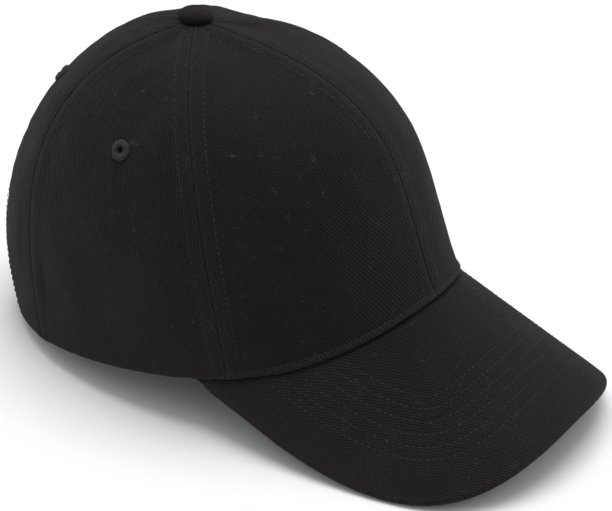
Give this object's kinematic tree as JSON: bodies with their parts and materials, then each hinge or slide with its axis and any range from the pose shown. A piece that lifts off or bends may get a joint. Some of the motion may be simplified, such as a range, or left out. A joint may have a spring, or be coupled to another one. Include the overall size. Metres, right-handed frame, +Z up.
{
  "type": "baseball cap",
  "caption": "Soft six-panel cap with a stiff curved front visor, cloth-covered button, stitched vent eyelets, inner sweatband and an adjustable back strap with a cam-lever clasp.",
  "frame": {"origin": "centre of the resting cap's bounding box, on the surface it stands on", "axes": "+Z up from the surface; the wearer faces -Y, so the visor points to -Y; +X is the wearer's left"},
  "size_m": [0.1496, 0.283, 0.1532],
  "materials": {
    "black_twill": "black cotton twill, brushed, dull",
    "black_tape": "black woven tape, dull",
    "black_thread": "black embroidery thread, slight sheen",
    "white_buckram": "stiff open-weave white buckram",
    "sweatband_cotton": "black cotton twill, soft",
    "pad_felt": "white needled felt",
    "label_satin": "white woven satin, blank",
    "visor_board": "natural polyethylene board, matte",
    "button_metal": "plain steel",
    "clasp_brass": "antique brass, satin"
  },
  "bodies": {
    "cap": {"front_panel_right": "black_twill", "front_panel_left": "black_twill", "side_panel_right": "black_twill", "side_panel_left": "black_twill", "back_panel_right": "black_twill", "back_panel_left": "black_twill", "front_stiffener_right": "white_buckram", "front_stiffener_left": "white_buckram", "seam_tape_centre": "black_tape", "seam_tape_right_to_left": "black_tape", "seam_tape_left_to_right": "black_tape", "eyelet_side_right": "black_thread", "eyelet_side_left": "black_thread", "eyelet_back_right": "black_thread", "eyelet_back_left": "black_thread", "button_cover": "black_twill", "button_shell": "button_metal", "button_rivet": "button_metal", "visor_top_cover": "black_twill", "visor_board": "visor_board", "visor_under_cover": "black_twill", "sweatband": "sweatband_cotton", "sweatband_tape": "black_tape", "sweat_pad": "pad_felt", "care_label": "label_satin", "opening_facing": "black_tape", "strap_tab": "black_twill", "clasp_frame": "clasp_brass", "clasp_pin": "clasp_brass"},
    "strap": {"size_strap": "black_twill"},
    "lever": {"clasp_lever": "clasp_brass"}
  },
  "joints": [
    {"name": "strap_slide", "type": "hinge", "parent": "cap", "child": "strap", "pos_m": [0, 0.07763, 0.02115], "axis": [0, 0.1797, 0.9837], "range_deg": [-6, 14]},
    {"name": "clasp_lever_hinge", "type": "hinge", "parent": "cap", "child": "lever", "pos_m": [-0.02765, 0.12879, 0.01181], "axis": [0, 0.1797, 0.9837], "range_deg": [0, 100]}
  ]
}
